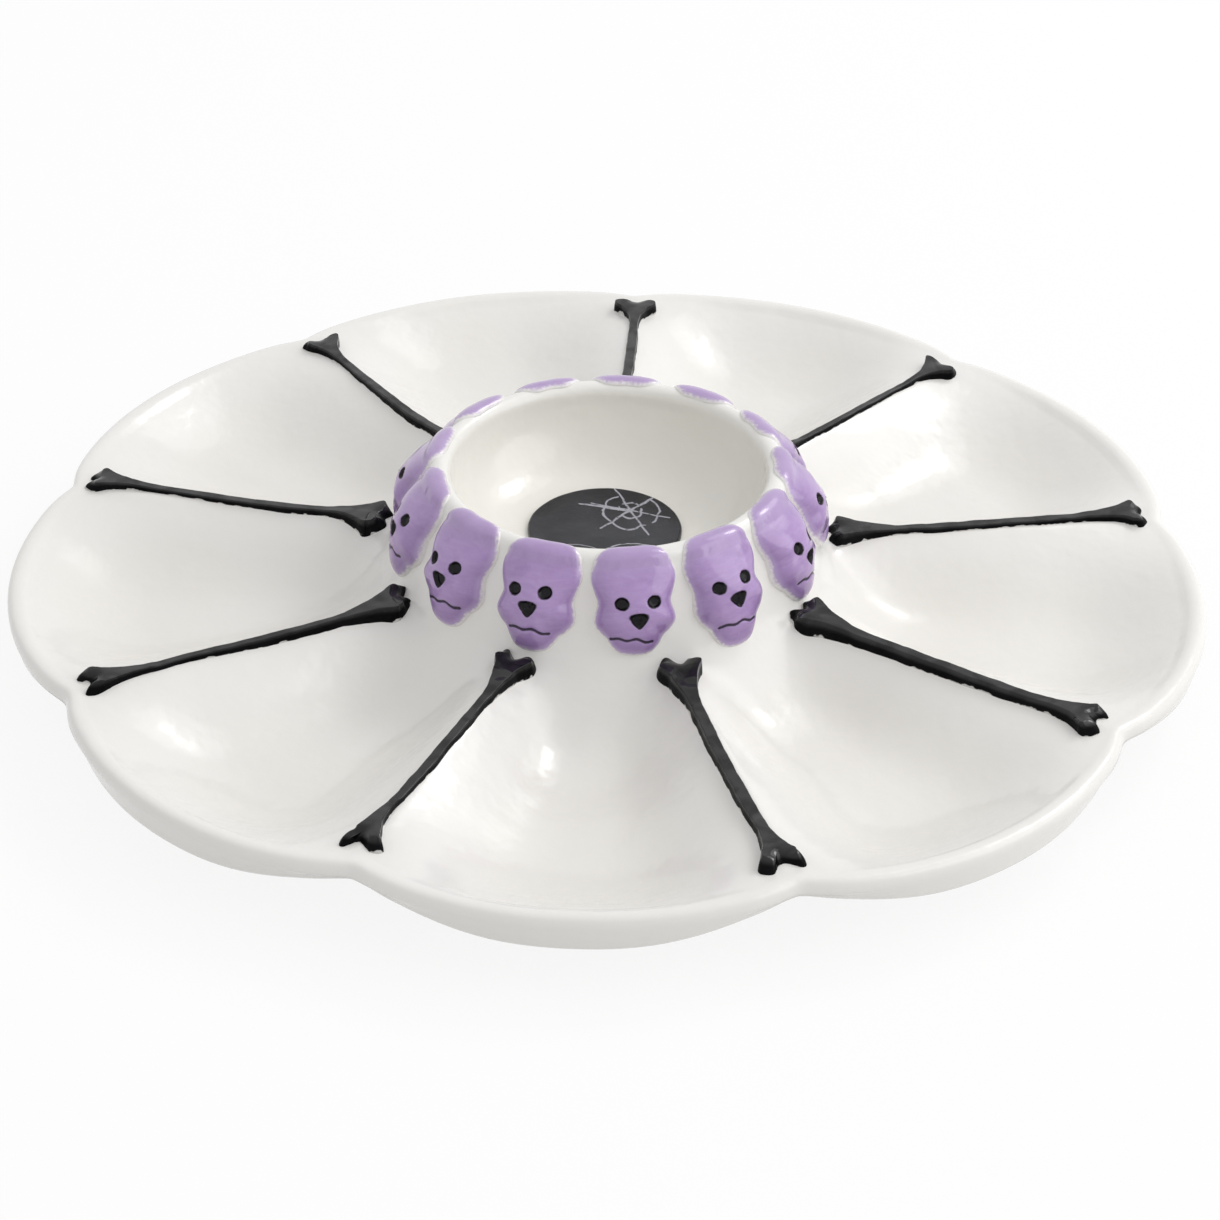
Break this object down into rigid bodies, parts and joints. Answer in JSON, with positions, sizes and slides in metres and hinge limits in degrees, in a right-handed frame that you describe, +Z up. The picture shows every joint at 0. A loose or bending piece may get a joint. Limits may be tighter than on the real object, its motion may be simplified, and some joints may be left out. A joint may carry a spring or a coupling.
{
  "type": "tapas plate",
  "caption": "Scalloped sharing plate with scoops round a raised dip bowl, raised bones on its ridges, a ring of small skulls on the bowl's wall and a round painted disc inside the bowl.",
  "frame": {"origin": "on the table, at the plate's axis, level with the foot ring's flat bottom", "axes": "+Z up along the plate's axis; +Y along the ridge of the first bone"},
  "size_m": [0.3472, 0.3451, 0.0568],
  "materials": {
    "white_glaze": "gloss",
    "black_glaze": "gloss",
    "lilac_glaze": "gloss",
    "disc_glaze": "gloss"
  },
  "bodies": {
    "root": {"platter": "white_glaze", "bone_1": "black_glaze", "bone_2": "black_glaze", "bone_3": "black_glaze", "bone_4": "black_glaze", "bone_5": "black_glaze", "bone_6": "black_glaze", "bone_7": "black_glaze", "bone_8": "black_glaze", "bone_9": "black_glaze", "skull_1": "lilac_glaze", "skull_2": "lilac_glaze", "skull_3": "lilac_glaze", "skull_4": "lilac_glaze", "skull_5": "lilac_glaze", "skull_6": "lilac_glaze", "skull_7": "lilac_glaze", "skull_8": "lilac_glaze", "skull_9": "lilac_glaze", "skull_10": "lilac_glaze", "skull_11": "lilac_glaze", "skull_12": "lilac_glaze", "skull_13": "lilac_glaze", "medallion": "disc_glaze"}
  },
  "joints": []
}
